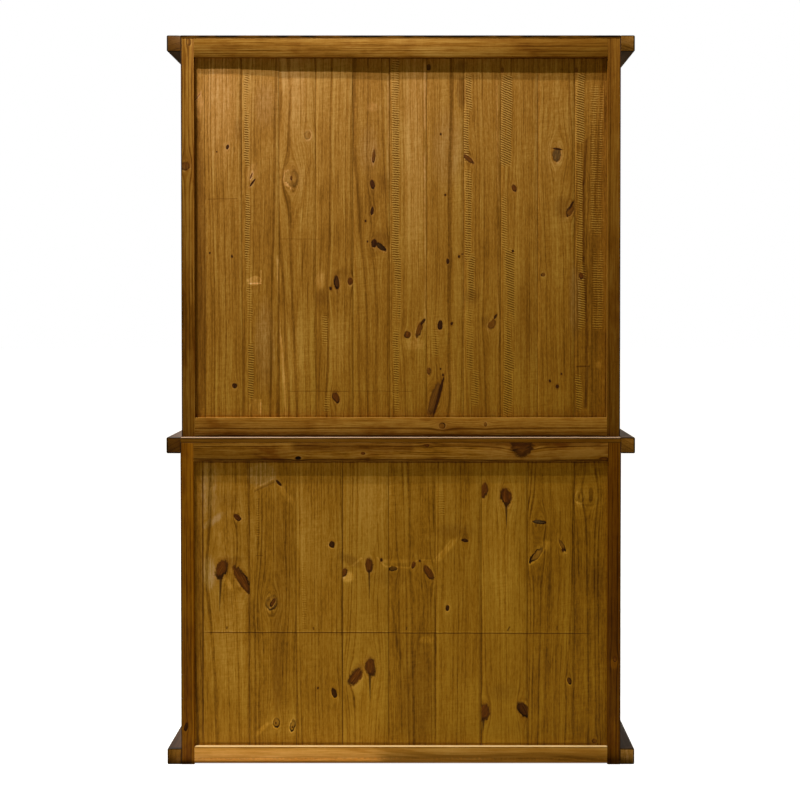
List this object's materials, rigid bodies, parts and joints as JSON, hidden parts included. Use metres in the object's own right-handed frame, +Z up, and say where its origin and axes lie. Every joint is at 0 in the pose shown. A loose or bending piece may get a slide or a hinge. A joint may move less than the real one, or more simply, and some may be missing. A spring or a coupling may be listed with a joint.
{
  "type": "step back cupboard",
  "caption": "Pine step back cupboard: glazed two-door upper case with shelves on a deeper lower case with drawers over panelled doors, plank back.",
  "frame": {"origin": "middle of the footprint, on the floor", "axes": "+X towards the right-hand side as seen from the front, -Y towards the front with the doors and drawers, +Z up"},
  "size_m": [1.367, 0.511, 2.132],
  "materials": {
    "back_pine": "honey waxed knotty pine",
    "inside_pine": "waxed pine",
    "case_pine": "pine stained dark outside, honey pine on the back faces",
    "stained_pine": "dark stained and waxed pine",
    "hardware": "blackened iron",
    "glass": "clear window glass"
  },
  "bodies": {
    "case": {"base_left_side_frame": "case_pine", "base_right_side_frame": "case_pine", "base_side_boards": "stained_pine", "base_back_top_rail": "back_pine", "base_back_bottom_rail": "back_pine", "base_back_boards": "back_pine", "base_front_frame": "stained_pine", "base_floor_board": "inside_pine", "base_shelf": "inside_pine", "shelf_battens": "inside_pine", "drawer_runners": "inside_pine", "drawer_guides": "inside_pine", "counter_top": "case_pine", "waist_mouldings": "stained_pine", "base_mouldings": "stained_pine", "upper_left_side_frame": "case_pine", "upper_right_side_frame": "case_pine", "upper_side_boards": "stained_pine", "upper_back_top_rail": "back_pine", "upper_back_bottom_rail": "back_pine", "upper_back_boards": "back_pine", "upper_front_frame": "stained_pine", "upper_floor_board": "inside_pine", "upper_shelves": "inside_pine", "top_board": "case_pine", "cornice_mouldings": "stained_pine", "hinge_case_leaves": "hardware", "hinge_pins": "hardware", "door_catches": "hardware", "door_stops": "inside_pine"},
    "lower_left_door": {"lower_left_door_frame": "stained_pine", "lower_left_door_panel": "stained_pine", "lower_left_door_knob": "hardware", "lower_left_door_leaves": "hardware"},
    "lower_right_door": {"lower_right_door_frame": "stained_pine", "lower_right_door_panel": "stained_pine", "lower_right_door_knob": "hardware", "lower_right_door_leaves": "hardware"},
    "upper_left_door": {"upper_left_door_frame": "stained_pine", "upper_left_door_bars": "stained_pine", "upper_left_door_glass": "glass", "upper_left_door_beads": "stained_pine", "upper_left_door_knob": "hardware", "upper_left_door_leaves": "hardware"},
    "upper_right_door": {"upper_right_door_frame": "stained_pine", "upper_right_door_bars": "stained_pine", "upper_right_door_glass": "glass", "upper_right_door_beads": "stained_pine", "upper_right_door_knob": "hardware", "upper_right_door_leaves": "hardware"},
    "left_drawer": {"left_drawer_front": "stained_pine", "left_drawer_box": "inside_pine", "left_drawer_bottom": "inside_pine", "left_drawer_knobs": "hardware"},
    "right_drawer": {"right_drawer_front": "stained_pine", "right_drawer_box": "inside_pine", "right_drawer_bottom": "inside_pine", "right_drawer_knobs": "hardware"}
  },
  "joints": [
    {"name": "lower_left_door_hinge", "type": "hinge", "parent": "case", "child": "lower_left_door", "pos_m": [-0.5845, -0.2195, 0.389], "axis": [0, 0, -1], "range_deg": [0, 110]},
    {"name": "lower_right_door_hinge", "type": "hinge", "parent": "case", "child": "lower_right_door", "pos_m": [0.5845, -0.2195, 0.389], "axis": [0, 0, 1], "range_deg": [0, 110]},
    {"name": "upper_left_door_hinge", "type": "hinge", "parent": "case", "child": "upper_left_door", "pos_m": [-0.5845, -0.0975, 1.523], "axis": [0, 0, -1], "range_deg": [0, 110]},
    {"name": "upper_right_door_hinge", "type": "hinge", "parent": "case", "child": "upper_right_door", "pos_m": [0.5845, -0.0975, 1.523], "axis": [0, 0, 1], "range_deg": [0, 110]},
    {"name": "left_drawer_slide", "type": "slide", "parent": "case", "child": "left_drawer", "axis": [0, -1, 0], "range_m": [0, 0.3]},
    {"name": "right_drawer_slide", "type": "slide", "parent": "case", "child": "right_drawer", "axis": [0, -1, 0], "range_m": [0, 0.3]}
  ]
}
